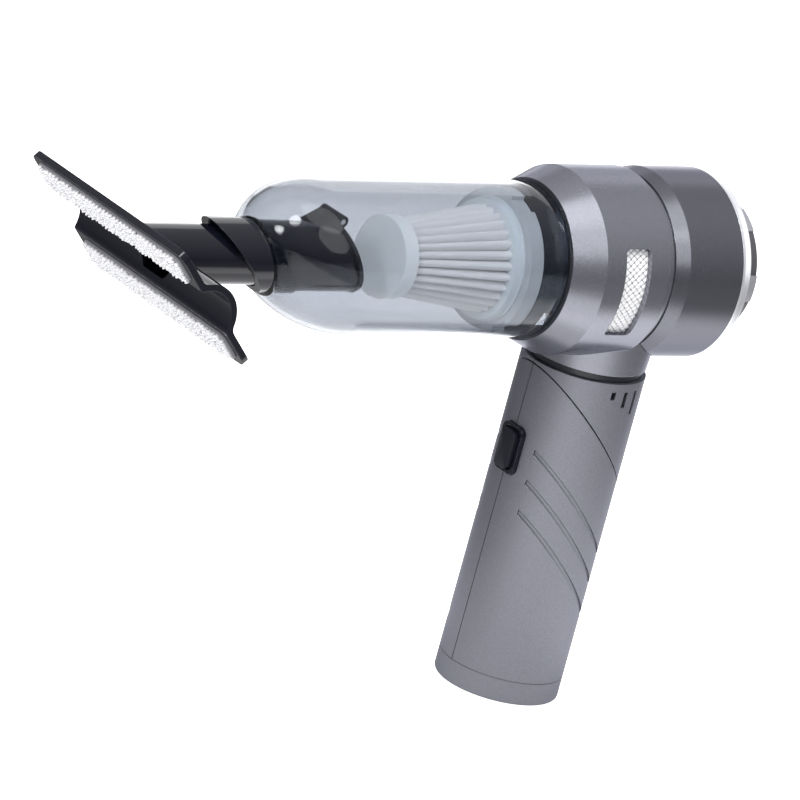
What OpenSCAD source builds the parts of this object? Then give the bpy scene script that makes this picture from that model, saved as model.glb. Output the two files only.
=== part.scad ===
// Handheld vacuum blower with a clear dust cup, a flat nozzle and a handle that folds on a 45 degree joint.
// The origin is the middle of the handle base. +Z runs up the handle and +X runs to the blower outlet.

/* [Body] */
// Height of the body axis above the handle base
axis_h = 151; // [148:1:170]
// Outside diameter of the motor body
body_d = 62.6; // [61:0.2:64]
// Wall of the body shells
body_wall = 2; // [1.6:0.1:2.6]
// Length of the body ahead of the handle axis
body_front = 37.8; // [36:0.2:44]
// Length of the body behind the handle axis
body_rear = 30.3; // [28:0.2:38]
// Length of the cone at the front of the body
cone_len = 10.8; // [9:0.2:12]
// Diameter of the front face of the body
cone_d = 53.4; // [52.6:0.2:55]
// Distance of the front shell's rear edge ahead of the handle axis
split_ahead = 0.7; // [0:0.1:2]
// Width of the floor of the groove between the two shells
groove_w = 3.7; // [2.5:0.1:5]
// Length of the sloped side of that groove
groove_slope = 5; // [3:0.2:7]
// Diameter of the air inlet eye behind the filter
eye_d = 23; // [20:0.5:28]

/* [Side vents] */
// Length of a side vent along the body
vent_len = 10.5; // [7:0.5:12]
// Distance of the side vents' rear edge ahead of the handle axis
vent_ahead = 8.5; // [8:0.1:9]
// Angle that a side vent spans round the body
vent_span = 58; // [40:1:70]
// Corner radius of a side vent
vent_corner = 1.4; // [0.6:0.1:2]
// Thickness of the mesh behind a side vent
mesh_t = 1; // [0.8:0.1:1.4]
// Openings of the mesh along the body
mesh_rows = 5; // [3:1:6]
// Openings of the mesh round the body
mesh_cols = 15; // [8:1:17]

/* [Rear outlet] */
// Length of the bright trim ring
trim_len = 4.2; // [3:0.1:6]
// Width of the trim ring's rear bevel
trim_bevel = 1.3; // [0.8:0.1:2]
// Thickness of the outlet cap's flange
cap_flange_t = 3; // [2:0.1:4]
// Diameter of the outlet cap's flange
cap_flange_d = 53.6; // [52:0.2:54.4]
// Diameter of the outlet collar
collar_d = 46.6; // [44:0.2:47.4]
// Bore of the outlet collar
outlet_d = 38; // [34:0.5:39]
// Distance that the outlet collar stands out behind the trim ring
collar_out = 8.5; // [6:0.5:12]
// Number of grip lugs round the outlet collar
collar_lugs = 6; // [4:1:8]
// Angle that one grip lug spans
lug_span = 23; // [16:1:30]
// Depth of the recesses between the grip lugs
lug_h = 0.5; // [0.4:0.1:1.6]

/* [Dust cup] */
// Outside diameter of the dust cup
cup_d = 51.4; // [50:0.2:52]
// Wall of the dust cup
cup_wall = 1.6; // [1.2:0.1:2]
// Straight length of the dust cup ahead of the body
cup_len = 81.2; // [78:0.2:95]
// Length of the rounded nose of the dust cup
nose_len = 34.5; // [32:0.5:42]
// Lean of the nose, forward travel per height
nose_lean = 0.36; // [0.2:0.01:0.4]
// Length of the spigot that the cup slides on
spigot_len = 10.2; // [9.6:0.2:14]
// Wall of that spigot
spigot_wall = 3.1; // [2.8:0.1:3.6]
// Turn that frees the dust cup
cup_turn = 20; // [12:1:25]
// Angle that one bayonet lug spans
bayonet_span = 14; // [10:1:18]
// Length of a bayonet lug along the body
bayonet_len = 3; // [2.4:0.1:3.4]
// Height of a bayonet lug
bayonet_h = 1.5; // [1.1:0.1:1.6]

/* [Intake tube] */
// Bore of the intake tube
tube_bore_d = 20.2; // [19.6:0.1:20.6]
// Wall of the intake tube
tube_wall = 1.4; // [1.2:0.1:1.7]
// Extra wall of the collar round its mouth
mouth_wall = 0.7; // [0.5:0.1:1]
// Distance of the mouth's middle ahead of the start of the nose
mouth_ahead = 39.4; // [37:0.2:44]
// Length of the collar round the mouth
mouth_len = 16.7; // [14:0.1:18]
// Distance of the tube's inner end behind the start of the nose
tube_behind = 4; // [1:0.2:4.4]
// Lean of the flap's seat from upright
flap_tilt = 26; // [22:1:28]
// Diameter of the flap
flap_d = 26; // [25.6:0.1:26.4]
// Thickness of the flap
flap_t = 1.2; // [1:0.1:1.4]
// Diameter of the flap's hinge pin
flap_pin_d = 1.8; // [1.4:0.1:2]

/* [Nozzle] */
// Outside diameter of the nozzle pipe
pipe_d = 19.6; // [18:0.1:19.6]
// Wall of the nozzle pipe
pipe_wall = 1.2; // [1:0.1:2]
// Length of the pipe behind the middle of the head
pipe_len = 61; // [55:0.5:66]
// Distance of the head's middle ahead of the tube mouth's middle
head_ahead = 37; // [34:0.5:44]
// Distance of the head's middle below the pipe axis
head_drop = 2.5; // [0:0.1:3]
// Width of the head from side to side
head_w = 87; // [80:1:96]
// Height of the head along its sloped face
head_h = 54; // [52:0.5:60]
// Thickness of the head's flanges
plate_t = 2.3; // [1.8:0.1:3]
// Height of the air slot along the face
slot_h = 19.5; // [17:0.5:20]
// Depth of the channel behind the air slot
channel_depth = 8.6; // [8:0.2:11]
// Wall of that channel
channel_wall = 2.3; // [1.4:0.1:2.6]
// Height of a lint strip along the face
strip_h = 12; // [9:0.5:12.5]
// Width of a lint strip from side to side
strip_w = 81; // [70:1:82]
// Thickness of a lint strip with its pile
strip_t = 2.2; // [1.6:0.1:3]
// Rows of tufts on a lint strip
strip_rows = 50; // [30:1:60]

/* [Filter] */
// Diameter of the filter's front cap
filter_cap_d = 27.6; // [25:0.2:29]
// Length of the filter's front cap
filter_cap_len = 5.4; // [4:0.2:7]
// Wall of the filter's front cap
filter_cap_wall = 1.2; // [0.8:0.1:1.6]
// Length of the filter ahead of its seat
filter_len = 44.2; // [40:0.2:45]
// Diameter over the pleats at the rear
pleat_rear_d = 35.6; // [33:0.2:38]
// Number of pleats
pleats = 28; // [20:1:32]
// Depth of a pleat at the rear
pleat_depth = 3.2; // [2:0.1:4]
// Diameter of the filter's rear flange
filter_flange_d = 39.6; // [38.4:0.2:41]
// Length of the filter's rear flange
filter_flange_len = 3.2; // [2:0.2:4]
// Length of the sealing ring between filter and spigot
gasket_len = 5.2; // [3:0.2:6]

/* [Drive] */
// Diameter of the motor
motor_d = 32; // [28:0.5:34]
// Length of the motor
motor_len = 33; // [28:0.5:36]
// Thickness of the motor plate
mount_t = 2.6; // [2.2:0.1:3]
// Diameter of the rotor shaft
shaft_d = 3; // [2.4:0.1:4]
// Diameter of the impeller
impeller_d = 45; // [40:0.5:46]
// Length of the impeller blades
blade_len = 7.6; // [5:0.2:8]
// Number of impeller blades
blades = 9; // [6:1:11]

/* [Handle] */
// Outside diameter of the handle
handle_d = 42; // [42:0.2:44]
// Wall of the handle shells
handle_wall = 2; // [1.8:0.1:2.1]
// Distance of the fold joint's middle below the body axis
fold_drop = 57.7; // [57:0.1:62]
// Distance of the handle's top rim below the body axis
rim_drop = 35.5; // [34.6:0.1:36]
// Height of the dark ring between neck and handle
neck_ring_h = 2.5; // [1.6:0.1:3]
// Diameter of the neck under the body
neck_d = 41; // [38:0.2:41.6]
// Widening of the neck where it meets the body
neck_flare = 1; // [0.5:0.1:3]
// Thickness of the sloped plates at the fold joint
fold_web = 2.5; // [2:0.1:3]
// Diameter of the hub that the handle turns on
hub_d = 16; // [13:0.5:17]
// Wall of that hub
hub_wall = 2; // [1.6:0.1:2.6]
// Height of the handle's bottom cap
base_cap_h = 8.1; // [6:0.1:10]
// Edge radius of the bottom cap
base_edge = 1.4; // [1:0.2:4]
// Distance of the first grip groove below the fold joint
grip_first = 17.5; // [15:0.5:20]
// Spacing of the grip grooves
grip_pitch = 7.5; // [5:0.5:9]
// Width of a grip groove
grip_w = 1.3; // [0.8:0.1:2]
// Depth of a grip groove
grip_depth = 0.5; // [0.3:0.1:0.9]
// Angle from the front where the grip grooves start
grip_start = 27; // [24:1:50]

/* [Button] */
// Distance of the button's middle below the body axis
button_drop = 67; // [66:0.5:70]
// Height of the button frame
frame_h = 16.5; // [14:0.5:18]
// Width of the button frame
frame_w = 10.5; // [9:0.5:11]
// Width of the frame's rim round the button
frame_rim = 1.3; // [1:0.1:2.2]
// Distance that the frame stands out of the handle
frame_out = 1; // [0.6:0.1:1.6]
// Distance that the button stands out of the handle
button_out = 3.2; // [2:0.1:3.6]
// Travel of the button
button_travel = 1.2; // [0.8:0.1:1.4]

/* [Power pack] */
// Room between the pair of battery cells and the handle's inside
cell_room = 0.6; // [0.3:0.05:0.8]
// Length of a battery cell
cell_len = 65; // [60:0.5:66]
// Thickness of the circuit boards
board_t = 1.6; // [1:0.1:2]
// Distance of the charging socket above the handle base
port_h = 23; // [20:0.5:40]

/* [Slack] */
// Slack between pieces of one body that are pushed together
seat_gap = 0.1; // [0.05:0.01:0.15]
// Slack between pieces that slide or turn on each other
run_gap = 0.3; // [0.2:0.05:0.4]
// Radial slack of shafts and pins in their bores
pin_gap = 0.05; // [0.03:0.01:0.1]

/* [Hidden] */

$fn = 64;
big = 300;
over = 1;
left = -1;
right = 1;

// Colours
gunmetal = [0.42, 0.42, 0.46];
dark_grey = [0.2, 0.2, 0.22];
black = [0.05, 0.05, 0.06];
silver = [0.8, 0.8, 0.82];
smoke = [0.6, 0.66, 0.7, 0.4];
milky = [0.88, 0.9, 0.9];
white = [0.95, 0.95, 0.95];
board_green = [0.1, 0.35, 0.2];
cell_blue = [0.2, 0.35, 0.6];

// Body lengths
body_r = body_d / 2;
body_in = body_r - body_wall;
cone_r = cone_d / 2;
x_face = -body_front;
x_cone = x_face + cone_len;
x_split = -split_ahead;
x_floor = x_split + groove_w;
x_slope = x_floor + groove_slope;
tongue_r = body_in - seat_gap;
tongue_in = tongue_r - body_wall;
blunt_edge = 0.4;
rear_lip_r = cap_flange_d / 2 - 3.2;
x_web = x_face + body_wall;
// Turn of the front shell's profile start, clear of the neck, the vents and the bayonet tracks
seam_turn = 140;

// Dust cup and bayonet
cup_r = cup_d / 2;
cup_in = cup_r - cup_wall;
x_mouth_rim = x_face - run_gap;
x_nose = x_face - cup_len;
nose_overlap = 2;
x_skirt = x_nose + 13;
spigot_r = cup_in - run_gap;
spigot_in = spigot_r - spigot_wall;
x_spigot = x_face - spigot_len;
bayonet_lugs = 3;
bayonet_first = -60;
bayonet_slack = 1.5;
x_lug = x_face - 4.6;
lug_in = cup_in - bayonet_h;
track_floor = lug_in - run_gap;
nose_sides = 48;
nose_steps = 8;

// Intake tube and flap
tube_bore_r = tube_bore_d / 2;
tube_r = tube_bore_r + tube_wall;
mouth_r = tube_r + mouth_wall;
mouth_tilt = 45;
collar_tilt = 36;
x_mouth = x_nose - mouth_ahead;
x_tube_end = x_nose + tube_behind;
nose_hole_r = mouth_r + seat_gap;
flap_r = flap_d / 2;
flap_pin_r = flap_pin_d / 2;
barrel_r = flap_pin_r + 1.1;
barrel_w = 7;
ear_t = 1.8;
ear_len = 9;
pin_up = tube_r / cos(flap_tilt) + barrel_r + 0.4;
pin_off = run_gap + flap_t / 2;
pin_x = x_tube_end - pin_up * sin(flap_tilt) + pin_off * cos(flap_tilt);
pin_z = axis_h + pin_up * cos(flap_tilt) + pin_off * sin(flap_tilt);

// Nozzle
pipe_r = pipe_d / 2;
head_tilt = 45;
x_head = x_mouth - head_ahead;
x_pipe_end = x_head + pipe_len;
channel_half = slot_h / 2 + channel_wall;
channel_r = (channel_half * channel_half + channel_depth * channel_depth) / (2 * channel_depth);
channel_mid = channel_depth - channel_r;
fillet_r = 3;
// Keeps the round sections from just touching where they blend
blend_skin = 0.03;
slot_lip = 1.2;
ear_h = (head_h - slot_h) / 2;
corner_r = 4;
strip_mid = slot_h / 2 + ear_h / 2 + 0.4;
strip_base = 0.8;

// Filter
filter_cap_r = filter_cap_d / 2;
x_gasket = x_spigot - gasket_len;
x_filter_flange = x_gasket - filter_flange_len;
x_filter_cap = x_gasket - filter_len;
x_pleat_front = x_filter_cap + filter_cap_wall;
pleat_sheet = 0.9;
pleat_rear_r = pleat_rear_d / 2;
// The sheet's cone passes the cap's open rim with the seat gap to spare
pleat_slope = (pleat_rear_r - filter_cap_r + filter_cap_wall + seat_gap)
    / (x_filter_flange - x_filter_cap - filter_cap_len);
pleat_front_r = pleat_rear_r - pleat_slope * (x_filter_flange - x_pleat_front);

// Drive
motor_r = motor_d / 2;
shaft_r = shaft_d / 2;
imp_gap = 1.2;
x_blade = x_web + imp_gap;
x_back = x_blade + blade_len;
back_t = 1.5;
x_mount = x_back + back_t + 1.5;
x_motor = x_mount + mount_t;
x_motor_end = x_motor + motor_len;
motor_boss_r = 5;
motor_screw_ring = 9;
motor_core_r = 11;
can_wall = 1.5;
can_floor = 5;
can_slots = 6;
can_slot_span = 12;
hub_front_r = 5;
nut_r = 3;
nut_t = 2;

// Handle and fold joint
handle_r = handle_d / 2;
handle_in = handle_r - handle_wall;
fold_tilt = 45;
fold_gap = 0.4;
fold_z = axis_h - fold_drop;
rim_z = axis_h - rim_drop;
neck_z = rim_z + neck_ring_h;
neck_r = neck_d / 2;
neck_ring_r = neck_r - 0.9;
wire_r = 5;
seam_z = base_cap_h;
part_line = 0.1;
hub_r = hub_d / 2;
bush_r = hub_r + 1.6;
washer_r = hub_r + 2.6;
washer_t = 1;
clip_t = 1;
clip_depth = 0.7;
hub_top = fold_gap / 2 + fold_web;
hub_flange_t = 1.6;
z_washer = hub_top + run_gap;
z_clip = z_washer + washer_t + seat_gap;
hub_end = z_clip + clip_t + 1;
grip_count = 3;
slot_first = 2.8;
slot_step = 2.75;
slot_wide = 1.7;
slot_below = 2.8;
slot_turn = 14.5;
slot_from = -5;

// Button and switch
button_z = axis_h - button_drop;
x_frame = -handle_r - frame_out;
x_frame_in = -handle_in + 0.4;
x_button = -handle_r - button_out;
button_lip = 0.9;
x_lip = x_frame_in + run_gap;
lip_t = 1.1;
x_nub = x_lip + lip_t + 0.8;
x_switch = x_nub + button_travel + run_gap;
switch_t = 2.6;
x_switch_board = x_switch + switch_t;
frame_corner = 2.6;
button_corner = 2.2;
crown_w = 9;
crown_h = 36;

// Power pack
cell_r = (handle_in - cell_room) / 2;
cell_y = cell_r + seat_gap;
carrier_t = 1.2;
z_carrier = seam_z + 0.3;
z_cell = z_carrier + carrier_t + seat_gap;
z_cell_top = z_cell + cell_len;
nub_h = 1;
rod_r = 1.4;
rod_x = cell_r * 0.8;
x_board = cell_r + 1.8;
port_w = 9;
port_t = 3.4;
screw_r = 1.25;
screw_head_r = 2.5;
screw_head_t = 1.8;
screw_bite = 7;
screw_seat = handle_r - 11.4;
boss_r = 3;
// Places of the handle screws, along X and above the handle base
handle_screw_at = [[4.4 - handle_in, 58], [4.4 - handle_in, 20], [x_board + board_t + boss_r - 0.2, 46]];

// Helpers

// Puts children on the body axis with their z along +X; angle 0 is then down and 90 is +Y.
module along_x(x) {
    translate([x, 0, axis_h]) rotate([0, 90, 0]) children();
}

module rod(r, x0, x1) {
    along_x(x0) cylinder(h = x1 - x0, r = r);
}

module ring(r_in, r_out, x0, x1) {
    along_x(x0) rotate_extrude() translate([r_in, 0]) square([r_out - r_in, x1 - x0]);
}

module sector(r_in, r_out, x0, x1, mid, span) {
    along_x(x0) rotate([0, 0, mid - span / 2])
        rotate_extrude(angle = span) translate([r_in, 0]) square([r_out - r_in, x1 - x0]);
}

module upright_ring(r_in, r_out, z0, z1) {
    translate([0, 0, z0]) rotate_extrude() translate([r_in, 0]) square([r_out - r_in, z1 - z0]);
}

// Plane through the body axis at x that leans forward at the top; local x is its rear side.
module leaning(x, tilt) {
    translate([x, 0, axis_h]) rotate([0, -tilt, 0]) children();
}

module behind(x, tilt) {
    leaning(x, tilt) translate([0, -big / 2, -big / 2]) cube(big);
}

module ahead(x, tilt) {
    leaning(x, tilt) translate([-big, -big / 2, -big / 2]) cube(big);
}

// Frame of the fold joint; local z points down into the lower handle.
module on_fold() {
    translate([0, 0, fold_z]) rotate([0, fold_tilt - 180, 0]) children();
}

module below_fold(d) {
    on_fold() translate([-big / 2, -big / 2, d]) cube(big);
}

module above_fold(d) {
    on_fold() translate([-big / 2, -big / 2, -big - d]) cube(big);
}

// Frame of the nozzle head; local x runs down the face and local z to the back.
module on_head() {
    translate([x_head, 0, axis_h - head_drop]) rotate([0, head_tilt, 0]) children();
}

module round_rect(w, h, r) {
    square([w - 2 * r, h], center = true);
    square([w, h - 2 * r], center = true);
    for (sx = [-1, 1], sy = [-1, 1])
        translate([sx * (w / 2 - r), sy * (h / 2 - r)]) circle(r);
}

// Rounded bar along X on the handle front at the button's height.
module front_bar(x0, x1, w, h, r) {
    translate([x0, 0, button_z]) rotate([0, 90, 0]) linear_extrude(x1 - x0) round_rect(h, w, r);
}

// Flat plate in the XZ plane from y0 to y1.
module plate_y(y0, y1) {
    translate([0, y1, 0]) rotate([90, 0, 0]) linear_extrude(y1 - y0) children();
}

module rod_y(r, x, z, y0, y1) {
    translate([x, y1, z]) rotate([90, 0, 0]) cylinder(h = y1 - y0, r = r);
}

// Body shells

module neck_solid(extra) {
    translate([0, 0, neck_z - (extra > 0 ? over : 0)])
        cylinder(h = axis_h - neck_z - body_r / 2, r1 = neck_r + extra, r2 = neck_r + neck_flare + extra);
}

module neck() {
    difference() {
        neck_solid(0);
        rod(body_in, -big, big);
        difference() {
            translate([0, 0, neck_z - over]) cylinder(h = body_r, r = neck_r - body_wall);
            rod(body_r, -big, big);
        }
    }
}

module bayonet_tracks() {
    for (i = [0 : bayonet_lugs - 1]) {
        rest = bayonet_first + i * 360 / bayonet_lugs;
        span = bayonet_span + 2 * bayonet_slack;
        sector(track_floor, spigot_r + over, x_lug - run_gap, x_lug + bayonet_len + run_gap,
               rest + cup_turn / 2, span + cup_turn);
        sector(track_floor + seat_gap, spigot_r + 2 * over, x_spigot - over, x_lug, rest + cup_turn,
               span - 2 * bayonet_slack / 3);
    }
}

// Rectangle with corners cut in three short sides.
function soft_corners(half_w, half_h, r) = [for (q = [0 : 3], i = [0 : 3])
    let (a = q * 90 + i * 30, sx = q == 0 || q == 3 ? 1 : -1, sy = q < 2 ? 1 : -1)
    [sx * (half_w - r) + r * cos(a), sy * (half_h - r) + r * sin(a)]];

module vent_window(side) {
    y_in = tongue_in * 0.75;
    y_out = body_r + over;
    plate_y(side > 0 ? y_in : -y_out, side > 0 ? y_out : -y_in)
        translate([-vent_ahead - vent_len / 2, axis_h])
            polygon(soft_corners(vent_len / 2, body_r * sin(vent_span / 2), vent_corner));
}

module front_housing() {
    color(gunmetal) difference() {
        union() {
            along_x(0) rotate([0, 0, seam_turn]) rotate_extrude() polygon([
                [spigot_in, x_spigot], [spigot_r, x_spigot], [spigot_r, x_face], [cone_r, x_face],
                [body_r, x_cone], [body_r, x_split], [tongue_r, x_split], [tongue_r, x_slope],
                [tongue_in, x_slope], [tongue_in, x_split - body_wall],
                [body_in, x_split - 2 * body_wall], [body_in, x_cone],
                [cone_r - body_wall, x_web], [eye_d / 2, x_web], [eye_d / 2, x_face],
                [spigot_in, x_face]]);
            neck();
        }
        bayonet_tracks();
        for (side = [left, right]) vent_window(side);
        translate([0, 0, neck_z - over]) cylinder(h = body_r, r = wire_r);
    }
}

module rear_housing() {
    color(gunmetal) difference() {
        along_x(0) rotate_extrude() polygon([
            [body_in, x_floor], [body_in + blunt_edge, x_floor], [body_r, x_slope],
            [body_r, body_rear], [rear_lip_r, body_rear], [rear_lip_r, body_rear - body_wall],
            [body_in, body_rear - 2 * body_wall]]);
        neck_solid(seat_gap);
        cap_screw_holes();
    }
}

module trim_ring() {
    color(silver) along_x(body_rear) rotate_extrude() polygon([
        [cap_flange_d / 2 + seat_gap, 0], [body_r, 0], [body_r, 0.9],
        [body_r - trim_bevel, trim_len], [cap_flange_d / 2 + seat_gap, trim_len]]);
}

module cap_screw_places() {
    for (i = [0 : 2]) along_x(body_rear) rotate([0, 0, i * 120 + 60])
        translate([(collar_d / 2 + cap_flange_d / 2) / 2, 0, 0]) children();
}

module cap_screw_holes() {
    cap_screw_places() translate([0, 0, -3 * body_wall])
        cylinder(h = 3 * body_wall + cap_flange_t + over, r = 0.8 + seat_gap / 2);
}

module cap_screws() {
    color(silver) cap_screw_places() {
        translate([0, 0, -body_wall + 0.4]) cylinder(h = body_wall + cap_flange_t - 0.4, r = 0.8);
        translate([0, 0, cap_flange_t]) cylinder(h = 0.9, r = 1.5);
    }
}

module outlet_cap() {
    x_end = body_rear + trim_len + collar_out;
    recess = 360 / collar_lugs - lug_span;
    color(dark_grey) difference() {
        union() {
            ring(outlet_d / 2, cap_flange_d / 2, body_rear, body_rear + cap_flange_t);
            ring(outlet_d / 2, collar_d / 2, body_rear, x_end);
        }
        for (i = [0 : collar_lugs - 1])
            sector(collar_d / 2 - lug_h, collar_d / 2 + over, body_rear + trim_len, x_end + over,
                   -90 + (i + 0.5) * 360 / collar_lugs, recess);
        cap_screw_holes();
    }
}

module outlet_grille() {
    bar = 1.4;
    inset = 0.3;
    rim = rear_lip_r - seat_gap;
    x0 = body_rear - body_wall;
    color(black) {
        for (r = [rim - bar, rim * 0.62, rim * 0.3]) ring(r, r + bar, x0, body_rear);
        for (i = [0 : 5]) along_x(x0 + inset) rotate([0, 0, i * 60 + 30])
            translate([rim * 0.3 + bar / 2, -bar / 2, 0]) cube([rim * 0.7 - bar, bar, body_wall - 2 * inset]);
    }
}

module vent_mesh(mid) {
    margin = 1.5;
    x0 = -vent_ahead - vent_len - margin;
    x1 = -vent_ahead + margin;
    pitch_x = vent_len / mesh_rows;
    pitch_a = vent_span / mesh_cols;
    hole = 0.41 * min(pitch_x, pitch_a * body_in * PI / 180);
    color(silver) difference() {
        sector(body_in - seat_gap - mesh_t, body_in - seat_gap, x0, x1, mid, vent_span + 6);
        for (row = [0 : mesh_rows - 1], col = [0 : mesh_cols - 1])
            along_x(-vent_ahead - (row + 0.5) * pitch_x)
                rotate([0, 0, mid + (col + 0.25 + 0.5 * (row % 2) - mesh_cols / 2) * pitch_a])
                    translate([body_in - seat_gap - mesh_t - over, 0, 0]) rotate([0, 90, 0])
                        cylinder(h = mesh_t + 2 * over, r = hole, $fn = 4);
    }
}

module vent_mesh_left() {
    vent_mesh(-90);
}

module vent_mesh_right() {
    vent_mesh(90);
}

// Drive

module motor_screw_places() {
    for (side = [left, right]) translate([0, side * motor_screw_ring, axis_h]) rotate([0, 90, 0]) children();
}

module motor_mount() {
    slots = 10;
    color(dark_grey) difference() {
        rod(body_in - seat_gap, x_mount, x_motor);
        rod(motor_boss_r + seat_gap, x_mount - over, x_motor + over);
        for (i = [0 : slots - 1])
            sector(motor_r + 2, body_in - 2.4, x_mount - over, x_motor + over, i * 360 / slots, 24);
        motor_screw_places() {
            translate([0, 0, x_mount - over]) cylinder(h = mount_t + 2 * over, r = screw_r + seat_gap);
            translate([0, 0, x_mount - over]) cylinder(h = over + 1.4, r = screw_head_r + seat_gap);
        }
    }
}

module motor_can() {
    rear_boss_r = 6;
    color(silver) difference() {
        union() {
            rod(motor_r, x_motor, x_motor_end);
            rod(motor_boss_r, x_mount + 0.4, x_motor + over);
            rod(rear_boss_r, x_motor_end - over, x_motor_end + 2.5);
        }
        rod(shaft_r + pin_gap, x_mount - over, x_motor_end + 4);
        motor_screw_places() translate([0, 0, x_motor - over])
            cylinder(h = over + 4.4, r = screw_r + pin_gap);
        ring(motor_core_r, motor_r - can_wall, x_motor + can_floor, x_motor_end - can_floor);
        for (i = [0 : can_slots - 1])
            sector(motor_r - 2 * can_wall, motor_r + over, x_motor + can_floor + over, x_motor_end - can_floor - over,
                   i * 360 / can_slots, can_slot_span);
    }
}

module motor_screws() {
    color(silver) motor_screw_places() {
        translate([0, 0, x_mount]) cylinder(h = 1.4, r = screw_head_r);
        translate([0, 0, x_mount + 1]) cylinder(h = mount_t + 3, r = screw_r);
    }
}

module rotor_shaft() {
    color(silver) rod(shaft_r, x_blade - nut_t, x_motor_end + 3.4);
}

// One blade is an arc of a circle between two radii, carried along the axis.
module blade_outline() {
    arc_r = impeller_d * 0.31;
    arc_at = impeller_d * 0.267;
    half = 0.6;
    intersection() {
        difference() {
            translate([arc_at, 0]) circle(arc_r + half);
            translate([arc_at, 0]) circle(arc_r - half);
        }
        difference() {
            circle(impeller_d / 2 - 0.5);
            circle(hub_front_r - 0.4);
        }
        translate([-impeller_d, 0]) square([2 * impeller_d, impeller_d]);
    }
}

module impeller() {
    color(dark_grey) difference() {
        union() {
            rod(impeller_d / 2, x_back, x_back + back_t);
            rod(hub_front_r, x_blade, x_back + over);
            for (i = [0 : blades - 1])
                along_x(x_blade) rotate([0, 0, i * 360 / blades]) linear_extrude(blade_len + 0.4) blade_outline();
        }
        rod(shaft_r + 0.02, x_blade - over, x_back + back_t + over);
    }
}

module impeller_nut() {
    color(silver) difference() {
        along_x(x_blade - nut_t) cylinder(h = nut_t, r = nut_r, $fn = 6);
        rod(shaft_r + 0.02, x_blade - nut_t - over, x_blade + over);
    }
}

// Filter

module filter_cap() {
    color(milky) difference() {
        rod(filter_cap_r, x_filter_cap, x_filter_cap + filter_cap_len);
        rod(filter_cap_r - filter_cap_wall, x_pleat_front, x_filter_cap + filter_cap_len + over);
    }
}

function star(r, depth) = [for (i = [0 : 2 * pleats - 1])
    (r - (i % 2) * depth) * [cos(i * 180 / pleats), sin(i * 180 / pleats)]];

module pleated_cone(r, x0, x1, taper) {
    translate([x1, 0, axis_h]) rotate([0, -90, 0])
        linear_extrude(height = x1 - x0, scale = taper) polygon(star(r, pleat_depth));
}

module filter_media() {
    taper = pleat_front_r / pleat_rear_r;
    color(white) difference() {
        pleated_cone(pleat_rear_r, x_pleat_front, x_filter_flange, taper);
        pleated_cone(pleat_rear_r - pleat_sheet, x_pleat_front - over, x_filter_flange + 0.01, taper * 0.97);
    }
}

module filter_frame() {
    throat_r = pleat_rear_r - pleat_depth - 1;
    color(milky) {
        ring(throat_r, filter_flange_d / 2, x_filter_flange, x_gasket);
        ring(filter_flange_d / 2 - 2.2, spigot_in - seat_gap, x_gasket - 0.6, x_spigot + 5);
    }
}

module filter_gasket() {
    color(milky) difference() {
        ring(spigot_in, spigot_r - 0.2, x_gasket, x_spigot);
        for (i = [0 : bayonet_lugs - 1])
            sector(track_floor, spigot_r + over, x_gasket - over, x_spigot + over,
                   bayonet_first + i * 360 / bayonet_lugs + cup_turn, bayonet_span + 2 * bayonet_slack);
    }
}

// Neck, upper handle and fold joint

module neck_ring() {
    color(black) upright_ring(wire_r, neck_ring_r, rim_z, neck_z);
}

module upper_handle() {
    color(gunmetal) difference() {
        intersection() {
            translate([0, 0, fold_z - 2 * handle_r])
                cylinder(h = rim_z - fold_z + 2 * handle_r, r = handle_r);
            above_fold(fold_gap / 2);
        }
        intersection() {
            translate([0, 0, fold_z - 2 * handle_r])
                cylinder(h = rim_z - handle_wall - fold_z + 2 * handle_r, r = handle_in);
            above_fold(hub_top);
        }
        translate([0, 0, rim_z - handle_wall - over]) cylinder(h = handle_wall + 2 * over, r = wire_r);
        on_fold() translate([0, 0, -hub_top - over]) cylinder(h = fold_web + 2 * over, r = hub_r + seat_gap);
        for (side = [left, right], i = [0 : 2])
            rotate([0, 0, side * (90 - slot_from - i * slot_turn)])
                translate([handle_in - over, -slot_wide / 2, rim_z - slot_below - slot_first - i * slot_step])
                    cube([handle_wall + 2 * over, slot_wide, slot_first + i * slot_step]);
    }
}

module pivot_hub() {
    color(dark_grey) on_fold() difference() {
        union() {
            translate([0, 0, -hub_top - hub_flange_t]) cylinder(h = hub_flange_t, r = hub_r + 2.5);
            translate([0, 0, -hub_top - over]) cylinder(h = hub_top + over + hub_end, r = hub_r);
        }
        translate([0, 0, -hub_top - hub_flange_t - over])
            cylinder(h = 2 * hub_end + hub_top + 4, r = hub_r - hub_wall);
        translate([0, 0, z_clip - seat_gap / 2]) difference() {
            cylinder(h = clip_t + seat_gap, r = hub_r + over);
            translate([0, 0, -over]) cylinder(h = clip_t + 3 * over, r = hub_r - clip_depth);
        }
    }
}

module pivot_washer() {
    color(silver) on_fold() translate([0, 0, z_washer]) difference() {
        cylinder(h = washer_t, r = washer_r);
        translate([0, 0, -over]) cylinder(h = washer_t + 2 * over, r = hub_r + pin_gap);
    }
}

module pivot_clip() {
    color(silver) on_fold() translate([0, 0, z_clip]) difference() {
        cylinder(h = clip_t, r = hub_r + 1.4);
        translate([0, 0, -over]) cylinder(h = clip_t + 2 * over, r = hub_r - clip_depth + pin_gap);
        translate([0, -hub_r * 0.6, -over]) cube([2 * hub_r, hub_r * 1.2, clip_t + 2 * over]);
    }
}

module pivot_bush() {
    color(white) on_fold() translate([0, 0, fold_gap / 2]) difference() {
        cylinder(h = fold_web, r = bush_r);
        translate([0, 0, -over]) cylinder(h = fold_web + 2 * over, r = hub_r + pin_gap);
    }
}

// Dust cup, intake tube and flap

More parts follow.
